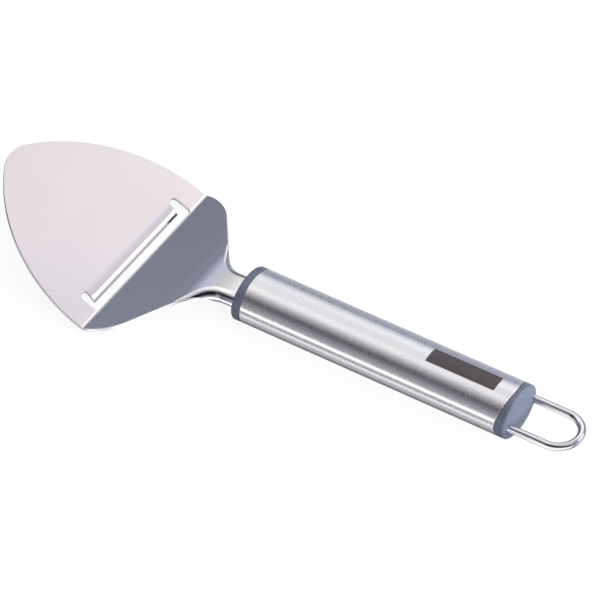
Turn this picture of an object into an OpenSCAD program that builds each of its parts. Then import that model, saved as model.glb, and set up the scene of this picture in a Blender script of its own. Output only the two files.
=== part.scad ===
// Cheese slicer: slotted spade blade on an oval tube handle with a wire hanging loop.
// Millimetres. X runs along the handle towards the loop, Z is up, and the part stands on Z = 0.

/* [Blade] */
// Width of the blade at its bend
blade_w = 82.6; // [66:0.2:100]
// Length of the front plate, from the bend to the tip
plate_l = 62.4; // [50:0.2:80]
// Radius of the rounded tip
tip_r = 14; // [8:0.5:20]
// Thickness of the steel sheet
sheet_t = 1.2; // [0.8:0.1:1.6]
// Rise of the front plate towards the tip, in degrees
front_tilt = 24; // [15:0.5:30]
// Rise of the rear plate towards the handle, in degrees
rear_tilt = 15; // [8:0.5:17]
// Inside radius of the bend between the plates
bend_r = 3; // [1.5:0.1:5]
// How far the front plate's side curve would stand out past the straight edge at the bend
side_crown = 0.15; // [0.1:0.05:1]
// Straight stretch of the edge behind the bend
edge_flat = 1; // [0.5:0.1:3]

/* [Shoulder and neck] */
// Radius of the rounded rear corners
shoulder_r = 21; // [16:0.5:26]
// How far ahead of its start the corner radius is centred
shoulder_lead = 4; // [0:0.5:6]
// Angle of the straight rear edges to the handle, in degrees
flare_angle = 54.5; // [48:0.5:62]
// Fillet between a rear edge and the neck
neck_fillet = 11; // [6:0.5:13]
// Space from the neck's edge to the side of the handle
neck_margin = 3.9; // [3:0.1:5.5]
// Length of the neck from its fillets to the collar
neck_l = 7.3; // [5:0.1:16]
// Height of the neck's crest above the handle's axis
neck_rise = 1.6; // [0.5:0.1:3.5]
// Radius over which the neck levels out
level_r = 85; // [60:1:90]
// Level stretch of the neck just before the collar
level_stub = 1.4; // [0.5:0.1:4]
// Radius of the neck's turned-down edges, on the upper side
roll_r = 4.3; // [3:0.1:4.6]
// Angle of the turned-down edges, in degrees
roll_angle = 88; // [50:1:90]
// Length over which the edges turn down
roll_run = 13.5; // [9:0.5:16]

/* [Slot and lip] */
// Width of the slot across the blade
slot_w = 62.3; // [50:0.1:70]
// Length of the end slits, from the bend forwards
slit_l = 8.4; // [7:0.1:12]
// Width of each end slit
slit_w = 3.6; // [2:0.1:4.5]
// Corner radius of the slot
slot_corner = 1.5; // [0.5:0.1:1.7]
// Angle at which the lip is turned down, in degrees
lip_angle = 14; // [8:0.5:20]
// Bend radius of the lip
lip_bend_r = 8; // [4:0.5:12]
// Flat stretch of the lip between its bend and the ground edge
lip_flat = 1.4; // [0.6:0.1:2]
// Width of the ground cutting edge
lip_grind = 2.6; // [1.5:0.1:3]

/* [Tang] */
// Length of the tang inside the handle
tang_l = 34; // [24:1:60]
// Diameter of the pin through the tang
pin_d = 3; // [2:0.1:4]
// Distance from the collar's front to the pin
pin_x = 21; // [14:0.5:24]
// Play between the tang and its pocket, on each side
tang_play = 0.1; // [0.05:0.01:0.2]

/* [Handle] */
// Width of the oval handle
handle_w = 23.6; // [20:0.1:32]
// Height of the oval handle
handle_h = 18.5; // [15:0.1:26]
// Length of the steel tube along the middle of its top
tube_l = 108.4; // [80:0.2:160]
// Wall of the steel tube
tube_wall = 0.9; // [0.6:0.1:1.3]
// How far the tube's front end is bowed forwards in its middle
front_bow = 0.6; // [0:0.1:1]
// How far the tube's rear end is bowed backwards in its middle
rear_bow = 2; // [0:0.1:3]
// Gap along the seams between the tube and the ends of the handle
seam = 0.1; // [0.05:0.01:0.2]
// Visible length of the front collar along the middle of its top
collar_l = 3.2; // [2.5:0.1:8]
// Rounding of the collar's front edge
collar_edge = 0.8; // [0.3:0.1:1.5]
// Plastic left at the closed end of a pocket or blind hole
end_wall = 3; // [1.5:0.1:6]
// Play between a spigot and the tube, on each side
spigot_play = 0.05; // [0.02:0.01:0.15]

/* [Rear cap and loop] */
// Visible length of the rear cap along the middle of its top, to the middle of its domed face
cap_l = 4; // [3.4:0.1:10]
// Rounding of the cap's rear edge
cap_edge = 0.9; // [0.4:0.1:1.2]
// Height of the dome on the cap's face
cap_dome = 1.6; // [0.4:0.1:2]
// Diameter of the loop's wire
wire_d = 3; // [2:0.1:3.4]
// Space from a leg's axis to the side of the handle
leg_margin = 3.2; // [2.8:0.1:5]
// Reach of the loop beyond the cap
loop_reach = 23.6; // [16:0.2:40]
// Length of each leg inside the cap
leg_seat = 15; // [8:0.5:30]
// Play round the pin and the wire, on each side
hole_play = 0.05; // [0.02:0.01:0.1]

/* [Hidden] */

// Overcut that makes a cut pass cleanly through a face
cut = 1;
// How far the neck and the lip reach into the plates, and how far they lie below the plates' surfaces
lap = 1;
lap_depth = 0.05;
// Points round the oval, along an arc of an outline, round the bend, along a rounded edge and across a
// turned-down edge
oval_n = 72;
arc_n = 18;
bend_n = 6;
edge_n = 5;
roll_n = 8;
// Rings over a domed face, and the share of the face that is flat in its middle
dome_n = 6;
dome_flat = 0.2;
// Sections along the neck between the flat plate and the collar
neck_n = 20;
round_fn = 64;

// Blade bend and outline
half_w = blade_w / 2;
bend_angle = front_tilt + rear_tilt;
bend_run = bend_r * tan(bend_angle / 2);
tip_x = plate_l - tip_r;
side_top = half_w + side_crown;
side_r = (tip_x * tip_x + side_top * side_top - tip_r * tip_r) / (2 * (side_top - tip_r));
side_y = side_r - side_top;
tip_a = atan2(side_y, tip_x);
shoulder_a = acos(shoulder_lead / shoulder_r);
shoulder_y = half_w - shoulder_r * sin(shoulder_a);
shoulder_x = edge_flat - shoulder_lead;
flare_x = shoulder_x + shoulder_r * sin(flare_angle);
flare_y = shoulder_y + shoulder_r * cos(flare_angle);

// Neck, with lengths measured along the sheet from the end of the bend
neck_half = handle_w / 2 - neck_margin;
meet_x = flare_x + (flare_y - neck_half) / tan(flare_angle);
fillet_run = neck_fillet * tan(flare_angle / 2);
fillet_x1 = meet_x - fillet_run * cos(flare_angle);
fillet_x2 = meet_x + fillet_run;
roll_x = fillet_x2 - roll_run;
roll_w = roll_r * roll_angle * PI / 180;
neck_end = fillet_x2 + neck_l;
level_x = neck_end - level_stub - level_r * rear_tilt * PI / 180;
// The flat plate ends where the sheet starts to level out or to turn down
neck_x = min(roll_x, level_x);

// Places in the handle's frame: X = 0 at the collar's front face, Z = 0 on the handle's axis
level_at = [-level_stub - level_r * sin(rear_tilt), 0, neck_rise - level_r * (1 - cos(rear_tilt))];
bend_at = level_at - (level_x + bend_run) * [cos(rear_tilt), 0, sin(rear_tilt)];
// Direction from the bend's corner to the middle of its rounding
bend_up = 90 - (front_tilt - rear_tilt) / 2;
bend_c = bend_at + bend_r / cos(bend_angle / 2) * [cos(bend_up), 0, sin(bend_up)];
tube_x = collar_l;
cap_x = tube_x + tube_l;
face_x = cap_x + cap_l;
loop_x = face_x + loop_reach;
leg_y = handle_w / 2 - leg_margin;
leg_in = face_x - leg_seat;
pocket_l = tang_l + tang_play;
collar_end = pocket_l + end_wall;
spigot_gap = tube_wall + spigot_play;
blade_x = bend_at.x - (bend_run + plate_l) * cos(front_tilt) - sheet_t * sin(front_tilt);
low_z = min(-handle_h / 2, bend_c.z - bend_r - sheet_t);
origin_at = [(blade_x + loop_x) / 2, 0, low_z];

function arc(c, r, a1, a2, n) =
    [for (i = [0:n]) let (a = a1 + (a2 - a1) * i / n) c + r * [cos(a), sin(a)]];
function flip(points) = [for (i = [len(points) - 1:-1:0]) [points[i].x, -points[i].y]];
// Section of the handle, set in from its surface and shrunk
function oval(inset, size) =
    [for (i = [0:oval_n - 1]) let (a = 360 * i / oval_n)
        size * [(handle_w / 2 - inset) * cos(a), (handle_h / 2 - inset) * sin(a)]];
function oval_ring(x, inset, size) = [for (p = oval(inset, size)) [x, p.x, p.y]];
// Section whose sides lie further along X than its middle
function bowed_ring(x, bow, inset) =
    [for (p = oval(inset, 1)) [x + bow * pow(2 * p.x / handle_w, 2), p.x, p.y]];
function ease_out(t) = t <= 0 ? 0 : t >= 1 ? 1 : t * (2 - t);

// Half of the front plate's edge, from the bend to the tip
front_edge = concat(
    arc([0, -side_y], side_r, 90, tip_a, arc_n),
    arc([tip_x, 0], tip_r, tip_a, 0, edge_n));
// Half of the rear plate's edge, from the bend to past the plate's end
rear_edge = concat(
    arc([shoulder_x, shoulder_y], shoulder_r, 90, 90 - flare_angle, arc_n),
    [[neck_x + cut, half_width(neck_x + cut)]]);

// Section of the sheet from past the tip, round the bend, to the end of the flat plate
function sheet_side(depth) =
    let (round = arc([bend_c.x, bend_c.z], bend_r + depth, 270 - front_tilt, 270 + rear_tilt, bend_n))
    concat(
        [round[0] + (plate_l + cut) * [-cos(front_tilt), sin(front_tilt)]],
        round,
        [round[bend_n] + neck_x * [cos(rear_tilt), sin(rear_tilt)]]);
under_side = sheet_side(sheet_t);
sheet_section = concat(sheet_side(0), [for (i = [len(under_side) - 1:-1:0]) under_side[i]]);

// Half width of the sheet behind the shoulder
function half_width(x) =
    x < fillet_x1 ? flare_y - (x - flare_x) * tan(flare_angle)
    : x < fillet_x2 ? neck_half + neck_fillet - sqrt(neck_fillet * neck_fillet - pow(fillet_x2 - x, 2))
    : neck_half;

// One surface of the arched section, from its flat middle out to one edge
function roll_side(half, angle, skin, grow) =
    let (turned = roll_r * angle * PI / 180, flat = half - roll_r * sin(angle))
    [for (i = [0:roll_n])
        let (d = roll_w - (roll_w + grow) * i / roll_n, a = max(0, turned - d) / roll_r * 180 / PI)
        [flat - max(0, d - turned) + (roll_r + skin) * sin(a), (roll_r + skin) * cos(a) - roll_r]];
// Closed section of the neck: width and height, with the crest at height 0
function neck_section(half, angle, grow) =
    let (top = roll_side(half, angle, grow, grow), low = roll_side(half, angle, -sheet_t - grow, grow))
    concat(
        [for (i = [roll_n:-1:0]) [-low[i].x, low[i].y]], low,
        [for (i = [roll_n:-1:0]) top[i]], [for (p = top) [-p.x, p.y]]);

// Place and slope of the neck's crest
function crest_slope(x) =
    x < level_x ? rear_tilt : max(0, rear_tilt - (x - level_x) / level_r * 180 / PI);
function crest(x) =
    let (a = crest_slope(x))
    x < level_x ? level_at - (level_x - x) * [cos(rear_tilt), 0, sin(rear_tilt)]
    : a > 0 ? level_at + level_r * [sin(rear_tilt) - sin(a), 0, cos(a) - cos(rear_tilt)]
    : [x - neck_end, 0, neck_rise];
function neck_ring(x, half, grow) =
    let (at = crest(x), a = crest_slope(x), roll = roll_angle * ease_out((x - roll_x) / roll_run))
    [for (p = neck_section(half, roll, grow)) at + [-p.y * sin(a), p.x, p.y * cos(a)]];

// Solid between rings of points that follow one another, closed by end faces or, in a loop, by joining the
// last ring to the first
module loft(rings, loop = false) {
    n = len(rings[0]);
    count = len(rings);
    sides = [for (i = [0:loop ? count - 1 : count - 2], j = [0:n - 1])
        let (k = (j + 1) % n, a = i * n, b = (i + 1) % count * n)
        [a + j, b + j, b + k, a + k]];
    first_end = [for (j = [0:n / 2 - 2]) [j, j + 1, n - 2 - j, n - 1 - j]];
    last_end = [for (f = first_end) [for (k = [3:-1:0]) (count - 1) * n + f[k]]];
    quads = loop ? sides : concat(sides, first_end, last_end);
    polyhedron(
        points = [for (ring = rings) each ring],
        faces = [for (f = quads) each [[f[0], f[1], f[2]], [f[0], f[2], f[3]]]]);
}

module on_floor() {
    translate(-origin_at) children();
}

// Draws a section of the handle along X
module along_x(x, l) {
    translate([x, 0, 0]) rotate([90, 0, 90]) linear_extrude(l) children();
}

// Frames of the two plates: X away from the bend, Z = 0 on the upper face
module front_frame() {
    translate(bend_at) mirror([1, 0, 0]) rotate([0, -front_tilt, 0]) children();
}

module rear_frame() {
    translate(bend_at) rotate([0, -rear_tilt, 0]) children();
}

// What is cut away outside a plate's edge
module waste(edge) {
    reach = max(plate_l, neck_x + shoulder_lead) + 2 * cut;
    back = [edge[0] - [cut, 0]];
    translate([bend_run, 0, -sheet_t - cut]) linear_extrude(sheet_t + 2 * cut) difference() {
        translate([edge[0].x, -edge[0].y - cut]) square([reach, 2 * (edge[0].y + cut)]);
        polygon(concat(back, edge, flip(edge), flip(back)));
    }
}

// Slot with rounded corners, together with the room for the lip
module slot_outline() {
    inner = slot_w / 2 - slot_corner;
    translate([0, -inner]) square([slit_l, 2 * inner]);
    translate([slot_corner, -slot_w / 2]) square([slit_l - 2 * slot_corner, slot_w]);
    for (x = [slot_corner, slit_l - slot_corner], y = [-inner, inner])
        translate([x, y]) circle(slot_corner, $fn = round_fn);
}

// Lip between the end slits, turned down and ground to an edge on its upper side
module lip() {
    lip_w = slot_w - 2 * slit_w;
    along = [-cos(lip_angle), -sin(lip_angle)];
    centre = [slit_l, -lip_bend_r];
    step = lip_angle / edge_n;
    top = arc(centre, lip_bend_r - lap_depth, 90 + step, 90 + lip_angle, edge_n);
    low = arc(centre, lip_bend_r - sheet_t + lap_depth, 90 + lip_angle, 90 + step, edge_n);
    flat_end = top[edge_n] + lip_flat * along;
    tip = low[0] + (lip_flat + lip_grind) * along;
    root = [[slit_l + lap, lap_depth - sheet_t], [slit_l + lap, -lap_depth]];
    rotate([90, 0, 0]) linear_extrude(lip_w, center = true)
        polygon(concat(top, [flat_end, tip], low, root));
}

module blade() {
    color("gainsboro") on_floor() difference() {
        union() {
            difference() {
                rotate([90, 0, 0]) linear_extrude(blade_w, center = true) polygon(sheet_section);
                front_frame() waste(front_edge);
                rear_frame() waste(rear_edge);
                front_frame() translate([0, 0, -sheet_t - cut])
                    linear_extrude(sheet_t + 2 * cut) slot_outline();
            }
            front_frame() lip();
            neck();
        }
        translate([pin_x, 0, neck_rise - sheet_t - cut])
            cylinder(d = pin_d + 2 * hole_play, h = sheet_t + 2 * cut, $fn = round_fn);
    }
}

// Arched neck from the flat plate to the collar, and the tang inside the handle
module neck() {
    root = neck_ring(neck_x - lap, half_width(neck_x), -lap_depth);
    rings = [for (i = [1:neck_n]) let (x = neck_x + (neck_end - neck_x) * i / neck_n)
        neck_ring(x, half_width(x), -lap_depth)];
    tang_end = [for (p = rings[neck_n - 1]) p + [tang_l, 0, 0]];
    loft(concat([root], rings, [tang_end]));
}

module front_collar() {
    seam_x = tube_x - seam;
    edge_rings = [for (a = [0:90 / edge_n:90])
        oval_ring(collar_edge * (1 - cos(a)), collar_edge * (1 - sin(a)), 1)];
    spigot_rings = [
        bowed_ring(seam_x, front_bow, 0),
        bowed_ring(seam_x, front_bow, spigot_gap),
        oval_ring(collar_end, spigot_gap, 1)];
    color("slategray") on_floor() difference() {
        loft(concat(edge_rings, spigot_rings));
        translate([0, 0, neck_rise])
            along_x(-cut, pocket_l + cut) polygon(neck_section(neck_half, roll_angle, tang_play));
        translate([pin_x, 0, -handle_h / 2])
            cylinder(d = pin_d + 2 * hole_play, h = handle_h, $fn = round_fn);
    }
}

module tang_pin() {
    pin_l = handle_h - 2 * tube_wall - pin_d / 2;
    color("silver") on_floor() translate([pin_x, 0, 0])
        cylinder(d = pin_d, h = pin_l, center = true, $fn = round_fn);
}

module handle_tube() {
    color("silver") on_floor() loft([
        bowed_ring(tube_x, front_bow, 0),
        bowed_ring(cap_x, -rear_bow, 0),
        bowed_ring(cap_x, -rear_bow, tube_wall),
        bowed_ring(tube_x, front_bow, tube_wall)], true);
}

module rear_cap() {
    seam_x = cap_x + seam;
    dome_x = face_x - cap_dome;
    spigot_rings = [
        oval_ring(leg_in - end_wall, spigot_gap, 1),
        bowed_ring(seam_x, -rear_bow, spigot_gap),
        bowed_ring(seam_x, -rear_bow, 0)];
    edge_rings = [for (a = [0:90 / edge_n:90])
        oval_ring(dome_x - cap_edge * (1 - sin(a)), cap_edge * (1 - cos(a)), 1)];
    dome_rings = [for (i = [1:dome_n]) let (t = i / dome_n)
        oval_ring(dome_x + cap_dome * t * (2 - t), cap_edge, 1 - t * (1 - dome_flat))];
    color("slategray") on_floor() difference() {
        loft(concat(spigot_rings, edge_rings, dome_rings));
        for (y = [-leg_y, leg_y])
            translate([leg_in - hole_play, y, 0]) rotate([0, 90, 0])
                cylinder(d = wire_d + 2 * hole_play, h = leg_seat + hole_play + cut, $fn = round_fn);
    }
}

module hang_loop() {
    turn_x = loop_x - wire_d / 2 - leg_y;
    color("silver") on_floor() {
        for (y = [-leg_y, leg_y])
            translate([leg_in, y, 0]) rotate([0, 90, 0])
                cylinder(d = wire_d, h = turn_x - leg_in, $fn = round_fn);
        translate([turn_x, 0, 0]) rotate([0, 0, -90]) rotate_extrude(angle = 180, $fn = round_fn)
            translate([leg_y, 0]) circle(d = wire_d, $fn = round_fn);
    }
}

blade();
front_collar();
tang_pin();
handle_tube();
rear_cap();
hang_loop();
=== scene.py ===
import math
import bpy
from mathutils import Matrix, Vector, geometry


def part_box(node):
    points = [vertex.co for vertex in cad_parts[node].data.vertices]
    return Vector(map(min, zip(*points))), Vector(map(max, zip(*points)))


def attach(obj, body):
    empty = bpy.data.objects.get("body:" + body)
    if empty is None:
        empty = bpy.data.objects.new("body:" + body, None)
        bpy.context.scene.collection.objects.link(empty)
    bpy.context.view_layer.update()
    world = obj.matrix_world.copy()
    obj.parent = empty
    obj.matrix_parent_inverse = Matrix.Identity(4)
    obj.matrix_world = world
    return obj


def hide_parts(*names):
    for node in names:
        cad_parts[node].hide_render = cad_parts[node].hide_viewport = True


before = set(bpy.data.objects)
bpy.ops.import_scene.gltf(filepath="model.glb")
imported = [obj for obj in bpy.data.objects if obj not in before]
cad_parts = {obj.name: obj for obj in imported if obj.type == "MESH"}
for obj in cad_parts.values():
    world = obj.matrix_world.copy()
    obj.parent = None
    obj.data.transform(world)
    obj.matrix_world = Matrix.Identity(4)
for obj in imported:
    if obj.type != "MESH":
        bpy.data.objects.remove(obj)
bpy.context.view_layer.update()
mm = 0.001

# everything is modelled in millimetres: x runs from the collar's front face, z from the handle's axis
tubeLow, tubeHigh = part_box("handle_tube")
collarLow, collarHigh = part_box("front_collar")
capLow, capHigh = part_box("rear_cap")
loopLow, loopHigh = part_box("hang_loop")
handleStart = Vector((collarLow.x, 0, (tubeLow.z + tubeHigh.z) / 2))
handleWidth = (tubeHigh.y - tubeLow.y) / mm
handleHeight = (tubeHigh.z - tubeLow.z) / mm
tubeFrom = (tubeLow.x - handleStart.x) / mm
tubeTo = (tubeHigh.x - handleStart.x) / mm
collarTo = (collarHigh.x - handleStart.x) / mm
capFrom = (capLow.x - handleStart.x) / mm
capTo = (capHigh.x - handleStart.x) / mm
loopFrom = (loopLow.x - handleStart.x) / mm
loopTo = (loopHigh.x - handleStart.x) / mm
print("frame: handle", round(handleWidth, 2), "x", round(handleHeight, 2), "mm,",
      "tube", round(tubeTo - tubeFrom, 2), "mm long")


def linear(hexText):
    values = [int(hexText[i:i + 2], 16) / 255 for i in (1, 3, 5)]
    return [v / 12.92 if v <= 0.04045 else ((v + 0.055) / 1.055) ** 2.4 for v in values] + [1]


def grey(level):
    return [level] * 3 + [1]


def clearNodes(owner):
    owner.use_nodes = True
    owner.node_tree.nodes.clear()


def addNode(owner, kind, inputs, **settings):
    node = owner.node_tree.nodes.new("ShaderNode" + kind)
    for name, value in settings.items():
        setattr(node, name, value)
    for name, value in inputs.items():
        if isinstance(value, bpy.types.NodeSocket):
            owner.node_tree.links.new(value, node.inputs[name])
        else:
            node.inputs[name].default_value = value
    return node


def compute(owner, operation, *values):
    return addNode(owner, "Math", dict(enumerate(values)), operation=operation).outputs[0]


def remap(owner, value, low, high, toLow=0, toHigh=1):
    return addNode(owner, "MapRange", {"Value": value, "From Min": low, "From Max": high,
                                       "To Min": toLow, "To Max": toHigh}).outputs[0]


def mixTone(owner, amount, low, high, blend="MIX"):
    return addNode(owner, "Mix", {0: amount, 6: low, 7: high}, data_type="RGBA", blend_type=blend).outputs[2]


def axes(owner, vector):
    return addNode(owner, "SeparateXYZ", {"Vector": vector}).outputs


def startMaterial(name):
    material = bpy.data.materials.new(name)
    clearNodes(material)
    return material


def endMaterial(material, inputs):
    shader = addNode(material, "BsdfPrincipled", inputs)
    addNode(material, "OutputMaterial", {"Surface": shader.outputs[0]})


# noise with grains of the given sizes along x, y and z
def noise(material, place, sizes, detail, roughness=0.5, unit=mm):
    perGrain = [1 / (size * unit) for size in sizes]
    stretched = addNode(material, "VectorMath", {0: place, 1: perGrain}, operation="MULTIPLY")
    pattern = addNode(material, "TexNoise", {"Vector": stretched.outputs[0], "Scale": 1, "Detail": detail,
                                             "Roughness": roughness})
    return pattern.outputs["Fac"]


# the colour follows one pattern from dull to bright, and the roughness follows another about its middle
def finishBy(material, finish, tonePattern, glossPattern):
    tone = mixTone(material, tonePattern, linear(finish["dull"]), linear(finish["bright"]))
    gloss = remap(material, glossPattern, 0.5 - finish["glossReach"], 0.5 + finish["glossReach"],
                  *finish["roughness"])
    return tone, gloss


def reliefBy(material, finish, height):
    bump = addNode(material, "Bump", {"Height": height, "Strength": finish["reliefStrength"],
                                      "Distance": finish["reliefMm"] * mm})
    return bump.outputs[0]


# cold-rolled stainless sheet, stamped and fine polished: a soft mirror with faint clouds and hairlines
sheetFinish = {
    "bright": "#efebeb",
    "dull": "#e6e3e4",
    "roughness": (0.08, 0.13),
    "glossReach": 0.15,
    "cloudMm": (26, 26, 26),
    "hairlineMm": (18, 0.5, 4),    # real ones are near 0.05 mm wide, drawn coarser so that they show
    "reliefMm": 0.01,
    "reliefStrength": 0.04,
}
sheetSteel = startMaterial("polishedStainlessSheet")
place = addNode(sheetSteel, "TexCoord", {}).outputs["Object"]
clouds = noise(sheetSteel, place, sheetFinish["cloudMm"], 2)
hairlines = noise(sheetSteel, place, sheetFinish["hairlineMm"], 3, 0.6)
tone, gloss = finishBy(sheetSteel, sheetFinish, clouds, hairlines)
relief = reliefBy(sheetSteel, sheetFinish, hairlines)
endMaterial(sheetSteel, {"Base Color": tone, "Roughness": gloss, "Normal": relief, "Metallic": 1})

# stainless tube brushed round its girth: reflections smear along the handle, with fine lines round it
tubeFinish = {
    "bright": "#f6f6f5",
    "dull": "#e2e2e1",
    "roughness": (0.2, 0.34),
    "glossReach": 0.2,
    "brushMm": (0.5, 30, 30),      # real lines are near 0.1 mm wide, drawn coarser so that they show
    "reliefMm": 0.01,
    "reliefStrength": 0.04,
    "metal": 0.82,                 # the brushed lines scatter the rest of the light evenly
    "smear": 0.9,
    "smearTurn": 0.25,
    "panelTone": "#4d4748",
    "panelX": (76.6, 104.7),
    "panelY": (-3.3, 3.9),
    "panelEdgeMm": 0.12,
    "panelRoughness": 0.42,
}
tubeSteel = startMaterial("brushedStainlessTube")
place = addNode(tubeSteel, "TexCoord", {}).outputs["Object"]
brush = noise(tubeSteel, place, tubeFinish["brushMm"], 2)
tone, gloss = finishBy(tubeSteel, tubeFinish, brush, brush)
relief = reliefBy(tubeSteel, tubeFinish, brush)
# a blank dark printed panel on the top of the tube, masked by place
spot = axes(tubeSteel, place)
panel = compute(tubeSteel, "GREATER_THAN", spot[2], handleStart.z)
for axis, span in enumerate((tubeFinish["panelX"], tubeFinish["panelY"])):
    low, high = [edge * mm + handleStart[axis] for edge in span]
    reach = (high - low) / 2
    soft = tubeFinish["panelEdgeMm"] * mm / 2
    offset = compute(tubeSteel, "SUBTRACT", spot[axis], (low + high) / 2)
    distance = compute(tubeSteel, "ABSOLUTE", offset)
    panel = compute(tubeSteel, "MULTIPLY", panel, remap(tubeSteel, distance, reach + soft, reach - soft))
inked = mixTone(tubeSteel, panel, tone, linear(tubeFinish["panelTone"]))
girth = addNode(tubeSteel, "Tangent", {}, direction_type="RADIAL", axis="X")
endMaterial(tubeSteel, {
    "Base Color": inked,
    "Roughness": addNode(tubeSteel, "Mix", {0: panel, 2: gloss, 3: tubeFinish["panelRoughness"]}).outputs[0],
    "Metallic": addNode(tubeSteel, "Mix", {0: panel, 2: tubeFinish["metal"], 3: 0}).outputs[0],
    "Normal": relief,
    "Tangent": girth.outputs[0],
    "Anisotropic": tubeFinish["smear"],
    "Anisotropic Rotation": tubeFinish["smearTurn"],
})

# drawn stainless wire, polished: a near mirror with faint lines along the wire
wireFinish = {
    "bright": "#e6e4e3",
    "dull": "#d8d6d6",
    "roughness": (0.05, 0.1),
    "glossReach": 0.15,
    "lineMm": (12, 0.25, 1),       # die lines are finer, drawn coarser so that they show
}
wireSteel = startMaterial("polishedStainlessWire")
wrap = addNode(wireSteel, "UVMap", {}, uv_map="alongWire").outputs[0]
dieLines = noise(wireSteel, wrap, wireFinish["lineMm"], 2, unit=1)    # the map itself is in millimetres
tone, gloss = finishBy(wireSteel, wireFinish, dieLines, dieLines)
endMaterial(wireSteel, {"Base Color": tone, "Roughness": gloss, "Metallic": 1})

# moulded polypropylene, slate grey: a satin surface with a fine spark-eroded grain
plasticFinish = {
    "bright": "#6f7789",
    "dull": "#666e7f",
    "roughness": (0.27, 0.36),
    "glossReach": 0.2,
    "grainMm": (0.3, 0.3, 0.3),    # the mould's grain is finer, drawn coarser so that it shows
    "flowMm": (6, 6, 6),
    "reliefMm": 0.02,
    "reliefStrength": 0.12,
    "refraction": 1.49,
}
greyPlastic = startMaterial("mouldedSlatePolypropylene")
place = addNode(greyPlastic, "TexCoord", {}).outputs["Object"]
grain = noise(greyPlastic, place, plasticFinish["grainMm"], 3)
flow = noise(greyPlastic, place, plasticFinish["flowMm"], 2)
tone, gloss = finishBy(greyPlastic, plasticFinish, flow, grain)
relief = reliefBy(greyPlastic, plasticFinish, grain)
endMaterial(greyPlastic, {"Base Color": tone, "Roughness": gloss, "Normal": relief,
                          "IOR": plasticFinish["refraction"]})

# cold-drawn steel dowel, left as cut: dull bright metal with lines along it
pinFinish = {
    "bright": "#c8c6c4",
    "dull": "#a9a7a6",
    "roughness": (0.25, 0.4),
    "glossReach": 0.5,
    "lineMm": (0.3, 0.3, 8),       # real lines are finer, drawn coarser so that they show
}
pinSteel = startMaterial("drawnSteelDowel")
place = addNode(pinSteel, "TexCoord", {}).outputs["Object"]
dieLines = noise(pinSteel, place, pinFinish["lineMm"], 2)
tone, gloss = finishBy(pinSteel, pinFinish, dieLines, dieLines)
endMaterial(pinSteel, {"Base Color": tone, "Roughness": gloss, "Metallic": 1})
print("materials:", len(bpy.data.materials))

crease = math.radians(35)          # edges that turn more than this stay sharp
support = 0.1                      # extra rings this close to a rounded edge keep the shading even
beadSteps = 4                      # steps round a small broken edge
roundSteps = 8                     # steps round a larger one
overrun = 1                        # cutters reach this far out of the surface


def evenly(start, length, count):
    return [start + length * i / count for i in range(count + 1)]


def quarterTurn(steps):
    return evenly(0, math.pi / 2, steps)


def makeObject(name, points, faces):
    mesh = bpy.data.meshes.new(name)
    mesh.from_pydata([handleStart + Vector(p) * mm for p in points], [], faces)
    mesh.shade_smooth()
    made = bpy.data.objects.new(name, mesh)
    bpy.context.scene.collection.objects.link(made)
    return made


def dress(piece, node, material):
    piece.data.materials.clear()
    piece.data.materials.append(material)
    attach(piece, "root")
    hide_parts(node)
    print("piece:", piece.name, len(piece.data.vertices), "vertices")


def loft(name, rings, ends=True):
    count = len(rings[0])
    faces = []
    for i in range(len(rings) - 1):
        for j in range(count):
            k = (j + 1) % count
            faces.append((i * count + j, i * count + k, (i + 1) * count + k, (i + 1) * count + j))
    if ends:
        faces.append(tuple(range(count - 1, -1, -1)))
        faces.append(tuple(range((len(rings) - 1) * count, len(rings) * count)))
    return makeObject(name, [p for ring in rings for p in ring], faces)


# a cross section of the handle, drawn in by an inset or a size, and bowed along x towards its sides
def ovalRing(x, inset=0, bow=0, size=1, count=144):
    ring = []
    for a in evenly(0, math.tau, count)[:-1]:
        y = size * (handleWidth / 2 - inset) * math.cos(a)
        z = size * (handleHeight / 2 - inset) * math.sin(a)
        ring.append((x + bow * (2 * y / handleWidth) ** 2, y, z))
    return ring


# blade: a flat blank with a slot is given rounded edges, then folded, lipped and arched; angles are in degrees
blade = {
    "width": 82.6,
    "plateLength": 62.4,
    "tipRadius": 14,
    "thickness": 1.2,
    "frontTilt": 24,
    "rearTilt": 15,
    "bendRadius": 3,
    "sideCrown": 0.15,
    "shoulderRadius": 21,
    "shoulderLead": 4,
    "edgeFlat": 1,
    "flareAngle": 54.5,
    "neckFillet": 11,
    "neckMargin": 3.9,
    "neckLength": 7.3,
    "neckRise": 1.6,
    "levelRadius": 85,
    "levelStub": 1.4,
    "rollRadius": 4.3,
    "rollAngle": 88,
    "rollRun": 13.5,
    "tangLength": 34,
    "pinHole": 3.1,
    "pinAt": 21,
    "edgeRound": 0.25,
}
slot = {
    "width": 62.3,
    "slitLength": 8.4,
    "slitWidth": 3.6,
    "corner": 1.5,
    "lipCorner": 0.45,
    "lipAngle": 14,
    "lipBendRadius": 8,
    "lipFlat": 1.4,
    "lipGrind": 2.6,
    "lipEdge": 0.1,
}
# how closely the blade's points lie, and how far they keep from its edges
grid = {
    "plateMm": 3,
    "neckMm": 0.5,
    "tangMm": 4,
    "tipMm": 0.6,
    "sideMm": 0.8,
    "neckEdgeMm": 0.4,
    "slotMm": 0.5,
    "holeMm": 0.3,
    "bendSteps": 10,
    "lipSteps": 8,
    "grindSteps": 4,
    "neckSteps": 40,
    "tangSteps": 12,
    "besideTurn": 0.3,
    "besideGrind": 0.02,
    "edgeClear": 1.1,
    "slotClear": 0.8,
    "lipClear": 0.6,
}
sheet = blade["thickness"]
halfWidth = blade["width"] / 2
frontTilt = math.radians(blade["frontTilt"])
rearTilt = math.radians(blade["rearTilt"])
bendAngle = frontTilt + rearTilt
bendLength = blade["bendRadius"] * bendAngle
bendRun = blade["bendRadius"] * math.tan(bendAngle / 2)

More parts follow.
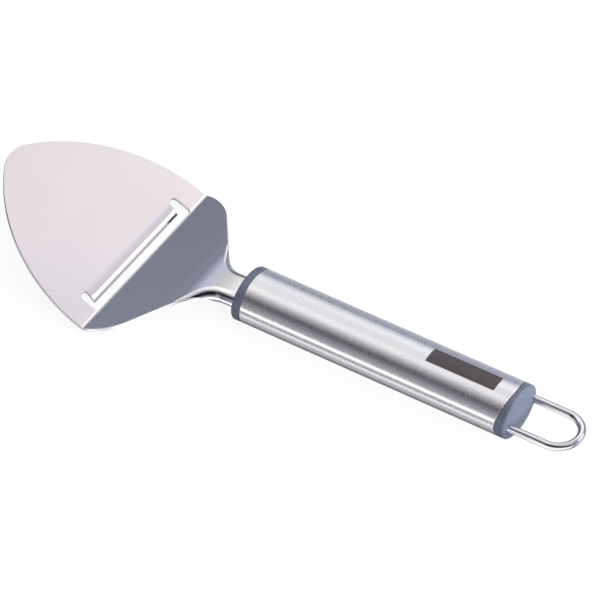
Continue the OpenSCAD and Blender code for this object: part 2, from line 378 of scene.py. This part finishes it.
# outline of the front plate: a wide side arc runs into the tip's arc
tipX = blade["plateLength"] - blade["tipRadius"]
sideTop = halfWidth + blade["sideCrown"]
sideRadius = (tipX ** 2 + sideTop ** 2 - blade["tipRadius"] ** 2) / (2 * (sideTop - blade["tipRadius"]))
tipAngle = math.atan2(sideRadius - sideTop, tipX)

# outline behind the bend: shoulder arc, straight flare, fillet, neck
flare = math.radians(blade["flareAngle"])
shoulderX = blade["edgeFlat"] - blade["shoulderLead"]
shoulderY = halfWidth - math.sqrt(blade["shoulderRadius"] ** 2 - blade["shoulderLead"] ** 2)
flareX = shoulderX + blade["shoulderRadius"] * math.sin(flare)
flareY = shoulderY + blade["shoulderRadius"] * math.cos(flare)
neckHalf = handleWidth / 2 - blade["neckMargin"]
meetX = flareX + (flareY - neckHalf) / math.tan(flare)
filletRun = blade["neckFillet"] * math.tan(flare / 2)
filletFrom = meetX - filletRun * math.cos(flare)
filletTo = meetX + filletRun
rollFrom = filletTo - blade["rollRun"]
neckEnd = filletTo + blade["neckLength"]
tangEnd = neckEnd + blade["tangLength"]
levelFrom = neckEnd - blade["levelStub"] - blade["levelRadius"] * rearTilt
levelAt = Vector((-blade["levelStub"] - blade["levelRadius"] * math.sin(rearTilt), 0,
                  blade["neckRise"] - blade["levelRadius"] * (1 - math.cos(rearTilt))))
rearWay = Vector((math.cos(rearTilt), 0, math.sin(rearTilt)))
bendEnd = levelAt - levelFrom * rearWay
bendCentre = bendEnd + blade["bendRadius"] * Vector((-math.sin(rearTilt), 0, math.cos(rearTilt)))

# the lip, measured along the sheet from the slit's front end
slitAt = bendRun - slot["slitLength"]
lipHalf = slot["width"] / 2 - slot["slitWidth"]
lipAngle = math.radians(slot["lipAngle"])
lipArc = slot["lipBendRadius"] * lipAngle
groundFrom = slitAt + lipArc + slot["lipFlat"]
lipEnd = groundFrom + slot["lipGrind"]
slotEnd = blade["bendRadius"] * math.asin(bendRun / blade["bendRadius"])


def halfBehind(x):
    if x <= blade["edgeFlat"]:
        return halfWidth
    if x < flareX:
        return shoulderY + math.sqrt(blade["shoulderRadius"] ** 2 - (x - shoulderX) ** 2)
    if x < filletFrom:
        return flareY - (x - flareX) * math.tan(flare)
    if x < filletTo:
        return neckHalf + blade["neckFillet"] - math.sqrt(blade["neckFillet"] ** 2 - (filletTo - x) ** 2)
    return neckHalf


def rollAt(x):
    t = min(max((x - rollFrom) / blade["rollRun"], 0), 1)
    return math.radians(blade["rollAngle"]) * t * (2 - t)


def flatHalf(x):
    return halfBehind(x) - blade["rollRadius"] * math.sin(rollAt(x))


# half the blank's width, by the distance s along the sheet from the front of the bend
def blankHalf(s):
    if s > bendLength:
        return flatHalf(s - bendLength) + blade["rollRadius"] * rollAt(s - bendLength)
    if s > 0:
        return halfWidth
    if -s > tipX + blade["tipRadius"] * math.cos(tipAngle):
        return math.sqrt(max(blade["tipRadius"] ** 2 - (-s - tipX) ** 2, 0))
    return min(math.sqrt(sideRadius ** 2 - s ** 2) - (sideRadius - sideTop), halfWidth)


# takes a point of the flat blank, s along it, t across it and h above its top, to its place in the blade
def foldPoint(s, t, h):
    if s <= 0:                                         # front plate, with the lip turned down out of it
        away, up = -s, h
        reach = s - slitAt
        if reach > 0 and abs(t) < lipHalf + slot["slitWidth"] / 2:
            worn = min(max((s - groundFrom) / slot["lipGrind"], 0), 1) * (1 - slot["lipEdge"] / sheet)
            up = -sheet + (h + sheet) * (1 - worn)
            turn = min(reach, lipArc) / slot["lipBendRadius"]
            onward = max(reach - lipArc, 0)
            radius = slot["lipBendRadius"] + up
            away = -slitAt - radius * math.sin(turn) - onward * math.cos(turn)
            up = radius * math.cos(turn) - slot["lipBendRadius"] - onward * math.sin(turn)
        foot = bendCentre - blade["bendRadius"] * Vector((math.sin(frontTilt), 0, math.cos(frontTilt)))
        return foot + Vector((up * math.sin(frontTilt) - away * math.cos(frontTilt), t,
                              up * math.cos(frontTilt) + away * math.sin(frontTilt)))
    if s < bendLength:                                 # the bend
        a = s / blade["bendRadius"] - frontTilt
        radius = blade["bendRadius"] - h
        return bendCentre + Vector((radius * math.sin(a), t, -radius * math.cos(a)))
    x = s - bendLength                                 # rear plate, neck and tang
    flat = flatHalf(x)
    across, up = t, h
    if rollAt(x) > 0 and abs(t) > flat:
        radius = blade["rollRadius"]
        a = (abs(t) - flat) / radius
        across = math.copysign(flat + (radius + h) * math.sin(a), t)
        up = (radius + h) * math.cos(a) - radius
    slope = rearTilt
    crest = bendEnd + x * rearWay
    if x > levelFrom:
        slope = max(rearTilt - (x - levelFrom) / blade["levelRadius"], 0)
        rise = blade["levelRadius"] * (math.cos(slope) - math.cos(rearTilt))
        crest = levelAt + Vector((blade["levelRadius"] * (math.sin(rearTilt) - math.sin(slope)), 0, rise))
    if slope == 0:
        crest = Vector((x - neckEnd, 0, blade["neckRise"]))
    return crest + Vector((-up * math.sin(slope), across, up * math.cos(slope)))


def foldNormal(s, t, h, normal):
    d = 0.004                                          # a short step each way shows how the blank is turned
    alongS = foldPoint(s + d, t, h) - foldPoint(s - d, t, h)
    alongT = foldPoint(s, t + d, h) - foldPoint(s, t - d, h)
    alongH = foldPoint(s, t, h + d) - foldPoint(s, t, h - d)
    turned = normal[0] * alongT.cross(alongH) + normal[1] * alongH.cross(alongS)
    turned += normal[2] * alongS.cross(alongT)
    return turned.normalized()


def arcPoints(centre, radius, start, end, step):
    count = max(2, math.ceil(abs(end - start) * radius / step))
    angles = evenly(start, end - start, count)
    return [(centre[0] + radius * math.cos(a), centre[1] + radius * math.sin(a)) for a in angles]


def roundedLoop(corners, step):
    loop = []
    for i, (corner, radius) in enumerate(corners):
        before = (Vector(corners[i - 1][0]) - Vector(corner)).normalized()
        after = (Vector(corners[(i + 1) % len(corners)][0]) - Vector(corner)).normalized()
        centre = Vector(corner) + radius * (before + after)
        turn = math.copysign(math.pi / 2, before.cross(after) * -1)
        start = math.atan2(-after.y, -after.x)
        loop += [Vector(p) for p in arcPoints(centre, radius, start, start + turn, step / 3)]
    full = []
    for i, point in enumerate(loop):
        following = loop[(i + 1) % len(loop)]
        parts = max(1, round((following - point).length / step))
        full += [tuple(point.lerp(following, k / parts)) for k in range(parts)]
    return full


def within(point, loop):
    crossed = False
    for i, (s, t) in enumerate(loop):
        lastS, lastT = loop[i - 1]
        if (t > point.y) != (lastT > point.y) and point.x < s + (lastS - s) * (point.y - t) / (lastT - t):
            crossed = not crossed
    return crossed


# loops run with the metal on their left: the outline, the slot round the lip, and the pin's hole in the tang
tipArc = arcPoints((tipX, 0), blade["tipRadius"], 0, tipAngle, grid["tipMm"])
sideArc = arcPoints((0, sideTop - sideRadius), sideRadius, tipAngle, math.pi / 2, grid["sideMm"])
tangFrom = bendLength + neckEnd
tangHalf = blankHalf(bendLength + tangEnd)
neckEdgeSteps = math.ceil(neckEnd / grid["neckEdgeMm"])
edge = [(-x, min(y, halfWidth)) for x, y in tipArc + sideArc[1:]]
edge += [(s, halfWidth) for s in evenly(0, bendLength, grid["bendSteps"])[1:]]
edge += [(s, blankHalf(s)) for s in evenly(bendLength, neckEnd, neckEdgeSteps)[1:]]
edge += [(s, tangHalf) for s in evenly(tangFrom, blade["tangLength"], grid["tangSteps"])[1:]]
outline = [(s, -t) for s, t in edge] + [(s, t) for s, t in reversed(edge[1:])]
slotLoop = roundedLoop([
    ((slotEnd, -slot["width"] / 2), slot["corner"]),
    ((slitAt, -slot["width"] / 2), slot["corner"]),
    ((slitAt, -lipHalf), slot["lipCorner"]),
    ((lipEnd, -lipHalf), slot["lipCorner"]),
    ((lipEnd, lipHalf), slot["lipCorner"]),
    ((slitAt, lipHalf), slot["lipCorner"]),
    ((slitAt, slot["width"] / 2), slot["corner"]),
    ((slotEnd, slot["width"] / 2), slot["corner"]),
], grid["slotMm"])
pinCentre = (tangFrom + blade["pinAt"], 0)
pinLoop = arcPoints(pinCentre, blade["pinHole"] / 2, math.tau, 0, grid["holeMm"])[:-1]

# rows of points inside the outline, close together where the sheet turns
slotRows = math.ceil(-slitAt / grid["plateMm"]) + 1    # the plate's own rows start in front of the slot
plateRows = int(blade["plateLength"] / grid["plateMm"])
rows = [-grid["plateMm"] * i for i in range(slotRows, plateRows + 1)]
rows += [slitAt - grid["besideTurn"], groundFrom - grid["besideGrind"], groundFrom + grid["besideGrind"]]
rows += evenly(slitAt, lipArc, grid["lipSteps"])
rows += evenly(groundFrom, slot["lipGrind"], grid["grindSteps"])[1:-1]
rows += evenly(0, bendLength, grid["bendSteps"])
rows += [-grid["besideTurn"], bendLength + grid["besideTurn"]]
rows += [bendLength + grid["plateMm"] * i for i in range(1, int(rollFrom / grid["plateMm"]))]
rows += evenly(bendLength + rollFrom, neckEnd - rollFrom, grid["neckSteps"])
rows += [tangFrom + grid["tangMm"] * i for i in range(1, int(blade["tangLength"] / grid["tangMm"]))]
clear = grid["slotClear"]
inner = []
for s in rows:
    inNeck = s > bendLength + rollFrom - grid["besideTurn"]
    spacing = grid["neckMm"] if inNeck else grid["plateMm"]
    reach = int((blankHalf(s) - grid["edgeClear"]) / spacing)
    for i in range(-reach, reach + 1):
        t = i * spacing
        inSlot = slitAt - clear < s < slotEnd + clear and abs(t) < slot["width"] / 2 + clear
        onLip = slitAt - clear < s < lipEnd - grid["lipClear"] and abs(t) < lipHalf - clear
        byPin = math.hypot(s - pinCentre[0], t) < blade["pinHole"] / 2 + clear
        if (not inSlot or onLip) and not byPin:
            inner.append((s, t))

# rim rings from the top face round the edge to the under face
rim = []
for a in quarterTurn(beadSteps):
    drop = blade["edgeRound"] * (1 - math.cos(a))
    rim.append((blade["edgeRound"] * (1 - math.sin(a)), -drop, math.sin(a), math.cos(a)))
rim += [(inset, -sheet - h, out, -up) for inset, h, out, up in reversed(rim)]
blank = []
normals = []
faces = []
topLoops = []
lowLoops = []
for loop in (outline, slotLoop, pinLoop):
    count = len(loop)
    start = len(blank)
    for inset, h, out, up in rim:
        for i, point in enumerate(loop):
            way = (Vector(loop[(i + 1) % count]) - Vector(loop[i - 1])).normalized()
            blank.append((point[0] - way.y * inset, point[1] + way.x * inset, h))
            normals.append((way.y * out, -way.x * out, up))
    for r in range(len(rim) - 1):
        for i in range(count):
            k = (i + 1) % count
            a = start + r * count
            faces.append((a + i, a + count + i, a + count + k, a + k))
    topLoops.append(list(range(start, start + count)))
    lowLoops.append(list(range(start + (len(rim) - 1) * count, start + len(rim) * count)))

# the top and under faces are filled alike between the loops and the inner points
flatPoints = []
flatEdges = []
topIndex = []
lowIndex = []
for top, low in zip(topLoops, lowLoops):
    base = len(flatPoints)
    flatPoints += [blank[i][:2] for i in top]
    flatEdges += [(base + i, base + (i + 1) % len(top)) for i in range(len(top))]
    topIndex += top
    lowIndex += low
for s, t in inner:
    flatPoints.append((s, t))
    topIndex.append(len(blank))
    blank.append((s, t, 0))
    normals.append((0, 0, 1))
    lowIndex.append(len(blank))
    blank.append((s, t, -sheet))
    normals.append((0, 0, -1))
# the 1 leaves out what lies outside the outline; the slot and the hole are left out below
filled = geometry.delaunay_2d_cdt([Vector(p) for p in flatPoints], flatEdges, [], 1, 1e-6)
origin = [source[0] for source in filled[3]]
for face in filled[2]:
    middle = sum((filled[0][i] for i in face), Vector((0, 0))) / len(face)
    if not within(middle, slotLoop) and not within(middle, pinLoop):
        faces.append(tuple(topIndex[origin[i]] for i in face))
        faces.append(tuple(lowIndex[origin[i]] for i in reversed(face)))
bladePiece = makeObject("slicerBlade", [foldPoint(*p) for p in blank], faces)
bladePiece.data.normals_split_custom_set_from_vertices([foldNormal(*p, n) for p, n in zip(blank, normals)])
dress(bladePiece, "blade", sheetSteel)

# handle tube: its ends are bowed in plan, with the cut edges just broken
tube = {"wall": 0.9, "edgeRound": 0.2, "frontBow": 0.6, "rearBow": 2}
bead = tube["edgeRound"]
frontEnd = [ovalRing(tubeFrom, tube["wall"], tube["frontBow"])]
rearEnd = [ovalRing(tubeTo, tube["wall"], -tube["rearBow"])]
for a in quarterTurn(beadSteps):
    reach = bead * (1 - math.cos(a))
    inset = bead * (1 - math.sin(a))
    frontEnd.append(ovalRing(tubeFrom + reach, inset, tube["frontBow"]))
    rearEnd.append(ovalRing(tubeTo - reach, inset, -tube["rearBow"]))
frontEnd.append(ovalRing(tubeFrom + bead + support, 0, tube["frontBow"]))
rearEnd.append(ovalRing(tubeTo - bead - support, 0, -tube["rearBow"]))
bore = frontEnd[:1]                # the last ring runs back along the bore
tubePiece = loft("handleTube", frontEnd + rearEnd[::-1] + bore, False)
tubePiece.data.set_sharp_from_angle(angle=crease)
dress(tubePiece, "handle_tube", tubeSteel)


def cutOut(piece, cutters):
    for cutter in cutters:
        modifier = piece.modifiers.new("cut", "BOOLEAN")
        modifier.operation = "DIFFERENCE"
        modifier.solver = "EXACT"
        modifier.object = cutter
    bpy.context.view_layer.update()
    evaluated = piece.evaluated_get(bpy.context.evaluated_depsgraph_get())
    cut = bpy.data.meshes.new_from_object(evaluated)
    piece.modifiers.clear()
    piece.data = cut
    for cutter in cutters:
        bpy.data.objects.remove(cutter)
    piece.data.shade_smooth()
    piece.data.set_sharp_from_angle(angle=crease)


def rod(name, start, end, radius, count=48):
    way = (Vector(end) - Vector(start)).normalized()
    side = way.orthogonal().normalized()
    other = way.cross(side)
    angles = evenly(0, math.tau, count)[:-1]
    outward = [radius * (side * math.cos(a) + other * math.sin(a)) for a in angles]
    return loft(name, [[Vector(p) + offset for offset in outward] for p in (start, end)])


# front collar: a moulded ring round the neck, with a spigot and a pocket for the tang inside the tube
collar = {
    "edgeRound": 0.8,
    "faceSupport": 0.3,
    "sideSupport": 0.15,
    "seam": 0.1,
    "seamRound": 0.12,
    "spigotGap": 0.95,
    "pocketPlay": 0.1,
    "pocketSteps": 12,
}
bow = tube["frontBow"]
seamX = tubeFrom - collar["seam"]
rings = [ovalRing(0, collar["edgeRound"] + collar["faceSupport"])]
for a in quarterTurn(roundSteps):
    rings.append(ovalRing(collar["edgeRound"] * (1 - math.cos(a)), collar["edgeRound"] * (1 - math.sin(a))))
rings.append(ovalRing(collar["edgeRound"] + collar["sideSupport"]))
rings.append(ovalRing(seamX - collar["seamRound"] - support, 0, bow))
for a in quarterTurn(beadSteps):
    inset = collar["seamRound"] * (1 - math.cos(a))
    rings.append(ovalRing(seamX - collar["seamRound"] * (1 - math.sin(a)), inset, bow))
rings.append(ovalRing(seamX, collar["spigotGap"], bow))
rings.append(ovalRing(collarTo, collar["spigotGap"]))
collarPiece = loft("collarMoulding", rings)
roll = math.radians(blade["rollAngle"])
radius = blade["rollRadius"]
play = collar["pocketPlay"]
skins = []
for skin in (play, -sheet - play):
    skins.append([])
    for a in evenly(0, roll + play / radius, collar["pocketSteps"]):
        y = flatHalf(neckEnd) + (radius + skin) * math.sin(a)
        skins[-1].append((y, (radius + skin) * math.cos(a) - radius))
top, low = skins
section = top[::-1] + [(-y, z) for y, z in top] + [(-y, z) for y, z in reversed(low)] + low
pocketEnds = (-overrun, blade["tangLength"] + play)
pocket = loft("pocketCutter", [[(x, y, z + blade["neckRise"]) for y, z in section] for x in pocketEnds])
pinLow = (blade["pinAt"], 0, -handleHeight)
pinHigh = (blade["pinAt"], 0, handleHeight)
pinRoom = rod("pinCutter", pinLow, pinHigh, blade["pinHole"] / 2)
cutOut(collarPiece, [pocket, pinRoom])
dress(collarPiece, "front_collar", greyPlastic)

# rear cap: a moulded plug with a rounded edge and a low dome, drilled for the loop's legs
cap = {
    "edgeRound": 0.9,
    "dome": 1.6,
    "domeFlat": 0.2,
    "domeSteps": 16,
    "seam": 0.1,
    "seamRound": 0.3,
    "spigotGap": 0.95,
}
wire = {"diameter": 3, "legMargin": 3.2, "holePlay": 0.05, "sides": 40, "legSteps": 8, "turnMm": 0.4}
legY = handleWidth / 2 - wire["legMargin"]
bow = -tube["rearBow"]
seamX = tubeTo + cap["seam"]
domeX = capTo - cap["dome"]
sideEnd = domeX - cap["edgeRound"]
rings = [ovalRing(capFrom, cap["spigotGap"]), ovalRing(seamX, cap["spigotGap"], bow)]
for a in quarterTurn(beadSteps):
    inset = cap["seamRound"] * (1 - math.sin(a))
    rings.append(ovalRing(seamX + cap["seamRound"] * (1 - math.cos(a)), inset, bow))
rings.append(ovalRing(seamX + cap["seamRound"] + support, 0, bow))
rings.append(ovalRing(sideEnd - support))
for a in quarterTurn(roundSteps):
    rings.append(ovalRing(sideEnd + cap["edgeRound"] * math.sin(a), cap["edgeRound"] * (1 - math.cos(a))))
for t in evenly(0, 1, cap["domeSteps"])[1:]:
    size = 1 - t * (1 - cap["domeFlat"])
    rings.append(ovalRing(domeX + cap["dome"] * t * (2 - t), cap["edgeRound"], 0, size))
capPiece = loft("capMoulding", rings)
holeRadius = wire["diameter"] / 2 + wire["holePlay"]
holes = []
for y in (-legY, legY):
    holes.append(rod("legCutter", (loopFrom - wire["holePlay"], y, 0), (capTo + overrun, y, 0), holeRadius))
cutOut(capPiece, holes)
dress(capPiece, "rear_cap", greyPlastic)

# hanging loop: one bent wire, both legs in the cap
turnX = loopTo - wire["diameter"] / 2 - legY
leg = [(x, -legY) for x in evenly(loopFrom, turnX - loopFrom, wire["legSteps"])[:-1]]
path = leg + arcPoints((turnX, 0), legY, -math.pi / 2, math.pi / 2, wire["turnMm"])
path += [(x, -y) for x, y in reversed(leg)]
rings = []
for i, (x, y) in enumerate(path):
    way = (Vector(path[min(i + 1, len(path) - 1)]) - Vector(path[max(i - 1, 0)])).normalized()
    ring = []
    for a in evenly(0, math.tau, wire["sides"])[:-1]:
        side = wire["diameter"] / 2 * math.cos(a)
        ring.append((x + way.y * side, y - way.x * side, wire["diameter"] / 2 * math.sin(a)))
    rings.append(ring)
loopPiece = loft("hangingLoop", rings)
loopPiece.data.set_sharp_from_angle(angle=crease)
travel = [0]
for i in range(1, len(path)):
    travel.append(travel[-1] + (Vector(path[i]) - Vector(path[i - 1])).length)
uvs = loopPiece.data.uv_layers.new(name="alongWire")
for corner in loopPiece.data.loops:
    row, column = divmod(corner.vertex_index, wire["sides"])
    girthAt = math.sin(math.pi * column / wire["sides"]) * wire["diameter"]    # out and back, so without a seam
    uvs.data[corner.index].uv = (travel[row], girthAt)
dress(loopPiece, "hang_loop", wireSteel)

# the pin is hidden in the handle and keeps its solid
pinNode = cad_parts["tang_pin"]
pinNode.data.materials.clear()
pinNode.data.materials.append(pinSteel)

# colours of the light
plain = "#ffffff"
cool = "#dfe6ff"
slateBlue = "#e7e9ff"
dusk = "#f3f2ff"
pinkish = "#fff4ed"
lilac = "#fdf8fc"
steelBlue = "#dae6ff"
paleBlue = "#eef2ff"
farBlue = "#d5e0ff"
deepBlue = "#cbceff"
hold = 0.5                         # a ramp stops at 1, so it holds half of each level and 2 fits in it


# each stop has a place between low and high, a level of light and its colour
def setStops(ramp, stops, low, high, scale):
    elements = ramp.color_ramp.elements
    while len(elements) < len(stops):
        elements.new(0.5)
    for element, (at, level, tone) in zip(elements, stops):
        element.position = (at - low) / (high - low)
        element.color = [scale * level * value for value in linear(tone)[:3]] + [1]


def seenStraight(owner, ray):
    return compute(owner, "MAXIMUM", ray.outputs["Is Camera Ray"], ray.outputs["Is Transmission Ray"])


# floor: pale paper, white to the camera, with a light soft shadow; seen in metal it glows by angle, a painted
# reflection with painted shade under the object
floor = {
    "size": 8,
    "tone": "#b0b0b0",
    "glow": 0.91,
    "shadow": "#696969",
    # painted reflection: glow levels by angle below the near horizon, painted shade where the object would
    # shade the floor and painted light in the bright bands
    "paintedReflection": [
        (0, 1.85, plain), (6, 1.6, plain), (12, 0.48, plain), (20, 0.1, plain), (26, 0.16, plain),
        (37, 1.38, dusk), (51, 0.53, dusk), (71, 0.44, dusk), (95, 0.04, dusk),
        (125, 0.3, slateBlue), (150, 0.58, slateBlue), (170, 0.28, slateBlue), (180, 0.36, slateBlue),
    ],
    "paintedEndGain": 2.4,                # painted light: the floor's glow in metal is raised here, standing in for the end panel's light
    "endLean": (-0.45, -0.75),     # from no gain to all of it, by how far the ray leans along the handle
    "paintedEndLevel": 1.15,
    "endFade": (-6, 2),            # millimetres past the cap
    "endSteep": (92, 68),          # painted shade: at these steep angles the edge line of the wire stays dark
}
half = floor["size"] / 2
mesh = bpy.data.meshes.new("paperFloor")
mesh.from_pydata([(-half, -half, 0), (half, -half, 0), (half, half, 0), (-half, half, 0)], [], [(0, 1, 2, 3)])
paperFloor = bpy.data.objects.new("paperFloor", mesh)
bpy.context.scene.collection.objects.link(paperFloor)
paper = startMaterial("whitePaper")
ray = addNode(paper, "LightPath", {})
glossy = ray.outputs["Is Glossy Ray"]
shown = compute(paper, "MAXIMUM", seenStraight(paper, ray), glossy)
surface = addNode(paper, "NewGeometry", {})
coming = axes(paper, surface.outputs["Incoming"])
# painted reflection: to rays from metal the floor adds a glow by their angle, with painted shade and light
turn = remap(paper, compute(paper, "ARCTAN2", coming[2], coming[1]), 0, math.pi)
paintedReflection = addNode(paper, "ValToRGB", {"Fac": turn})
setStops(paintedReflection, floor["paintedReflection"], 0, 180, hold)
# painted light: rays that lean along the handle see the floor's glow raised, as if the end panel lit it; beyond
# the cap it turns white, except at steep angles
paintedGain = remap(paper, coming[0], *floor["endLean"], 1, floor["paintedEndGain"])
paintedLevels = addNode(paper, "VectorMath", {0: paintedReflection.outputs[0], "Scale": paintedGain}, operation="SCALE")
fadeFrom, fadeTo = [handleStart.x + (capTo + reach) * mm for reach in floor["endFade"]]
past = remap(paper, axes(paper, surface.outputs["Position"])[0], fadeFrom, fadeTo)
steep = remap(paper, turn, *[angle / 180 for angle in floor["endSteep"]])
paintedEndMask = compute(paper, "MULTIPLY", past, steep)
paintedFloorGlow = mixTone(paper, paintedEndMask, paintedLevels.outputs[0], grey(floor["paintedEndLevel"] * hold))
glowTone = mixTone(paper, glossy, grey(floor["glow"] * hold), paintedFloorGlow)
strength = compute(paper, "MULTIPLY", shown, 1 / hold)
glow = addNode(paper, "Emission", {"Color": glowTone, "Strength": strength})
mattTone = mixTone(paper, shown, linear(floor["tone"]), linear(floor["shadow"]))
matt = addNode(paper, "BsdfDiffuse", {"Color": mattTone})
both = addNode(paper, "AddShader", {0: matt.outputs[0], 1: glow.outputs[0]})
addNode(paper, "OutputMaterial", {"Surface": both.outputs[0]})
mesh.materials.append(paper)

# studio walls by angle from overhead: white low on the near side, slate above, dim past the blade
walls = {
    "around": [
        (-90, 1.8, plain), (-86, 1.15, plain), (-81, 0.6, plain), (-76, 0.4, slateBlue), (-60, 0.6, slateBlue),
        (-50, 0.33, deepBlue), (-40, 0.045, deepBlue), (-25, 0.04, deepBlue), (-18, 0.18, deepBlue),
        (-10, 0.24, slateBlue), (58, 0.27, slateBlue), (68, 0.36, farBlue), (90, 0.33, farBlue),
    ],
    "level": 1.3,
    "dim": 0.18,
    "dimFrom": -0.32,
    "dimTo": -0.5,
    # a dark flag on the near side darkens the core of the neck's rolled edge
    "flag": [
        (-90, 1, plain), (-70, 1, plain), (-62, 0.12, plain),
        (-25, 0.12, plain), (-15, 1, plain), (90, 1, plain),
    ],
    "flagFrom": -0.34,
    "flagTo": -0.2,
}
world = bpy.data.worlds.new("studio")
bpy.context.scene.world = world
clearNodes(world)
way = axes(world, addNode(world, "TexCoord", {}).outputs["Generated"])
turn = remap(world, compute(world, "ARCTAN2", way[1], way[2]), -math.pi / 2, math.pi / 2)
slate = addNode(world, "ValToRGB", {"Fac": turn})
setStops(slate, walls["around"], -90, 90, hold)
flag = addNode(world, "ValToRGB", {"Fac": turn})
setStops(flag, walls["flag"], -90, 90, 1)
flagSide = remap(world, way[0], walls["flagFrom"], walls["flagTo"])
flagged = mixTone(world, flagSide, slate.outputs[0], flag.outputs[0], "MULTIPLY")
bright = remap(world, way[0], walls["dimTo"], walls["dimFrom"], walls["dim"] / hold, walls["level"] / hold)
room = addNode(world, "Background", {"Color": flagged, "Strength": bright})
white = addNode(world, "Background", {"Color": grey(1), "Strength": 1})
seen = seenStraight(world, addNode(world, "LightPath", {}))
mixed = addNode(world, "MixShader", {0: seen, 1: room.outputs[0], 2: white.outputs[0]})
addNode(world, "OutputWorld", {"Surface": mixed.outputs[0]})

wattsPerArea = 2.7                 # what an area lamp needs per square metre to look as bright as white


# an overhead lamp's spans are in units of its height, and an upright one's in metres
def overhead(card):
    height = card["height"]
    return [(x * height, y * height, height) for x, y in zip(card["spanX"], card["spanY"])]


def beyondEnd(card):
    return [(card["distance"], y, z) for y, z in zip(card["spanY"], card["spanZ"])]


# a flat lamp between two corners, facing down or, when it stands upright, towards the blade
def addLamp(name, corners, level):
    low, high = [Vector(corner) for corner in corners]
    size = high - low
    upright = size.x == 0
    light = bpy.data.lights.new(name, "AREA")
    light.shape = "RECTANGLE"
    light.size = size.z if upright else size.x
    light.size_y = size.y
    light.energy = level * wattsPerArea * light.size * light.size_y
    lamp = bpy.data.objects.new(name, light)
    lamp.location = (low + high) / 2
    lamp.rotation_euler.y = math.pi / 2 if upright else 0
    lamp.visible_camera = False
    bpy.context.scene.collection.objects.link(lamp)
    return lamp


# overhead softbox: its diffuser falls off towards its edges and slants towards the near side
softbox = {
    "height": 2.0,
    "spanX": (-2.0, 1.05),
    "spanY": (-0.6, 2.3),
    "slantFrom": 1.0,
    "slant": 0.8,
    "acrossX": [
        (-2.0, 0.41, steelBlue), (-1.5, 0.39, steelBlue), (-1.4, 0.29, steelBlue), (-1.27, 0.51, cool),
        (-1.14, 0.87, cool), (-0.95, 0.82, paleBlue), (-0.79, 0.8, plain), (-0.65, 0.91, plain),
        (-0.5, 1.05, plain), (-0.3, 1.22, plain), (0.15, 1.22, plain), (0.36, 0.86, pinkish),
        (0.4, 0.88, pinkish), (0.44, 0.97, pinkish), (0.5, 0.87, lilac), (0.55, 0.8, lilac),
        (0.66, 0.71, lilac), (0.85, 0.59, lilac), (1.05, 0.55, lilac),
    ],
    "acrossY": [
        (-0.6, 0.15, plain), (-0.35, 0.43, plain), (-0.235, 0.6, plain), (-0.126, 0.84, plain),
        (-0.02, 1.07, plain), (0.1, 1.08, plain), (0.22, 0.95, plain), (0.36, 0.65, plain), (0.55, 0.65, plain),
        (0.85, 1.0, plain), (1.2, 1.02, plain), (1.55, 0.81, plain), (2.3, 0.55, cool),
    ],
}
light = addLamp("softbox", overhead(softbox), 1).data
clearNodes(light)
spread = axes(light, addNode(light, "NewGeometry", {}).outputs["Parametric"])
nearEdge = (softbox["slantFrom"] - softbox["spanY"][0]) * softbox["height"] / light.size_y
nearer = compute(light, "MAXIMUM", compute(light, "SUBTRACT", nearEdge, spread[1]), 0)
slanted = compute(light, "MULTIPLY_ADD", nearer, softbox["slant"] * light.size_y / light.size, spread[0])
acrossX = addNode(light, "ValToRGB", {"Fac": slanted})
setStops(acrossX, softbox["acrossX"], *softbox["spanX"], hold)
acrossY = addNode(light, "ValToRGB", {"Fac": spread[1]})
setStops(acrossY, softbox["acrossY"], *softbox["spanY"], hold)
diffuser = mixTone(light, 1, acrossX.outputs[0], acrossY.outputs[0], "MULTIPLY")
glow = addNode(light, "Emission", {"Color": diffuser, "Strength": 1 / hold ** 2})
addNode(light, "OutputLight", {"Surface": glow.outputs[0]})

# small overhead card that gives the neck's rolled edges their white line
neckCard = {"height": 1.95, "spanX": (-0.85, -0.53), "spanY": (-0.02, 0.68), "level": 0.6}
addLamp("neckCard", overhead(neckCard), neckCard["level"])

# low panel that lights the end of the handle and fades out on the near side; metal doesn't mirror it
endPanel = {"distance": 1.0, "spanY": (-1.4, 1.5), "spanZ": (0.0, 0.75), "level": 5.3, "fade": 0.4}
lamp = addLamp("endPanel", beyondEnd(endPanel), endPanel["level"])
lamp.visible_glossy = False
light = lamp.data
clearNodes(light)
spread = axes(light, addNode(light, "NewGeometry", {}).outputs["Parametric"])
glow = addNode(light, "Emission", {"Strength": remap(light, spread[1], 0, endPanel["fade"])})
addNode(light, "OutputLight", {"Surface": glow.outputs[0]})

# white card that the lip's ground edge mirrors; matt surfaces get no light from it
edgeCard = {"distance": 0.98, "spanY": (0.4, 1.3), "spanZ": (0.22, 0.85), "level": 1.6}
addLamp("edgeCard", beyondEnd(edgeCard), edgeCard["level"]).visible_diffuse = False

# camera at the photograph's angle
view = {
    "azimuth": 32.1,
    "elevation": 44.5,
    "distance": 1600,
    "pixelsPerMm": 2.76,
    "pictureWidth": 594,
    "aim": (17.85, -1.70),
    "sensor": 36,
}
a = math.radians(view["azimuth"])
e = math.radians(view["elevation"])
right = Vector((math.cos(a), math.sin(a), 0))
back = Vector((math.sin(a) * math.cos(e), -math.cos(a) * math.cos(e), math.sin(e)))
up = back.cross(right)
lens = bpy.data.cameras.new("photoCamera")
lens.sensor_width = view["sensor"]
lens.lens = view["pixelsPerMm"] * view["distance"] * view["sensor"] / view["pictureWidth"]
camera = bpy.data.objects.new("photoCamera", lens)
spot = handleStart + (back * view["distance"] + right * view["aim"][0] + up * view["aim"][1]) * mm
camera.matrix_world = Matrix.Translation(spot) @ Matrix((right, up, back)).transposed().to_4x4()
bpy.context.scene.collection.objects.link(camera)
bpy.context.scene.camera = camera
bpy.context.scene.view_settings.view_transform = "Standard"
print("stage: floor, walls, lamps and camera are set")
